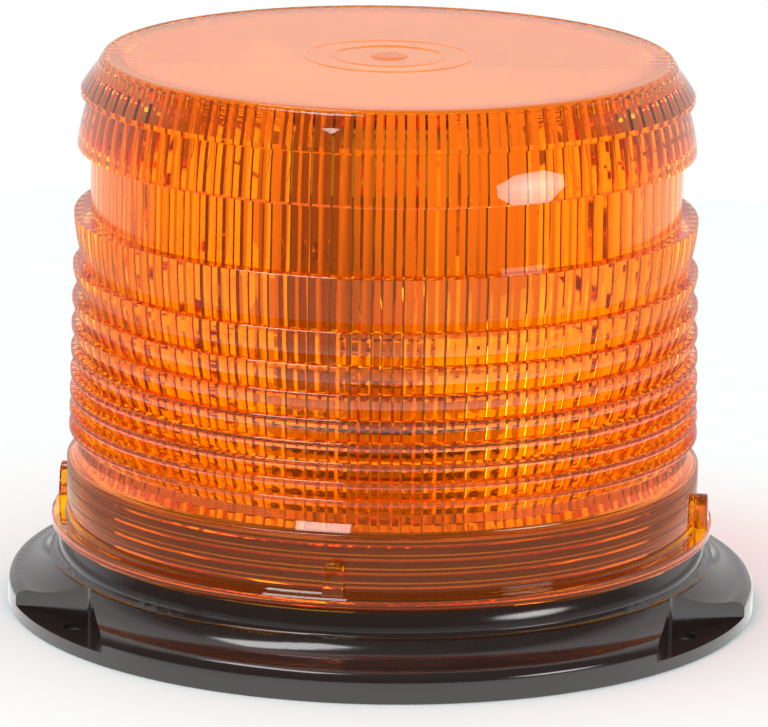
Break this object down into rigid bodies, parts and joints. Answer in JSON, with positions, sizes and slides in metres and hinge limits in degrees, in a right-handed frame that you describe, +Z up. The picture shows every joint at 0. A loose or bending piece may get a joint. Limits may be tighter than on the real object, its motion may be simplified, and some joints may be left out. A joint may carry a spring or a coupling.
{
  "type": "rotating beacon",
  "caption": "Surface-mounted rotating beacon: a fluted amber Fresnel lens screwed to a round black base, over a geared motor, a lamp and a turning reflector.",
  "frame": {"origin": "centre of the base's underside, on the axis of the lens and reflector", "axes": "+Z up through the lens, away from the mounting surface; -Y is the front seen in the picture, with one screw pocket at +Y; +X to the right of the front"},
  "size_m": [0.186, 0.186, 0.1372],
  "materials": {
    "base_plastic": "glossy moulded black plastic",
    "lens_amber": "clear amber plastic, polished",
    "black_rubber": "matt black rubber",
    "zinc_steel": "bright zinc plated",
    "pillar_steel": "turned and nickel plated",
    "motor_steel": "drawn steel can",
    "black_nylon": "satin black nylon",
    "white_nylon": "natural nylon",
    "brass_parts": "machined brass",
    "bronze_bush": "sintered bronze",
    "lamp_metal": "plated lamp base",
    "lamp_glass": "clear quartz",
    "filament_metal": "coiled tungsten wire",
    "reflector_bright": "bright metallised inside, pale moulded back"
  },
  "bodies": {
    "base": {"base_housing": "base_plastic", "lens_seal": "black_rubber", "chassis_plate": "zinc_steel", "vibration_grommets": "black_rubber", "grommet_sleeves": "zinc_steel", "chassis_washers": "zinc_steel", "chassis_screws": "zinc_steel", "centre_pillar": "pillar_steel", "pillar_rivets": "zinc_steel", "thrust_washer": "white_nylon", "retaining_clip": "zinc_steel", "lamp_holder": "white_nylon", "lamp_base": "lamp_metal", "lamp_glass": "lamp_glass", "lamp_filament": "filament_metal", "lamp_clip": "pillar_steel", "motor_can": "motor_steel", "motor_end_cap": "black_nylon", "motor_tabs": "brass_parts", "motor_bracket": "zinc_steel", "motor_face_screws": "zinc_steel", "bracket_screws": "zinc_steel", "bracket_nuts": "zinc_steel", "cable_grommet": "black_rubber", "terminal_block": "white_nylon", "terminal_screws": "brass_parts"},
    "lens": {"lens_dome": "lens_amber"},
    "reflector": {"rotor_gear": "white_nylon", "hub_bush": "bronze_bush", "reflector_dish": "reflector_bright", "reflector_arm": "zinc_steel", "dish_screws": "zinc_steel", "arm_screws": "zinc_steel"},
    "motor_rotor": {"motor_shaft": "pillar_steel", "drive_pinion": "brass_parts"}
  },
  "joints": [
    {"name": "reflector_spin", "type": "hinge", "parent": "base", "child": "reflector", "pos_m": [0, 0, 0.07], "axis": [0, 0, 1], "continuous": true},
    {"name": "motor_spin", "type": "hinge", "parent": "base", "child": "motor_rotor", "pos_m": [0, 0.0336, 0.07], "axis": [0, 0, 1], "continuous": true},
    {"name": "lens_lift", "type": "slide", "parent": "base", "child": "lens", "axis": [0, 0, 1], "range_m": [0, 0.12]}
  ],
  "couplings": [
    {"joint": "motor_spin", "follows": "reflector_spin", "ratio": -6}
  ]
}
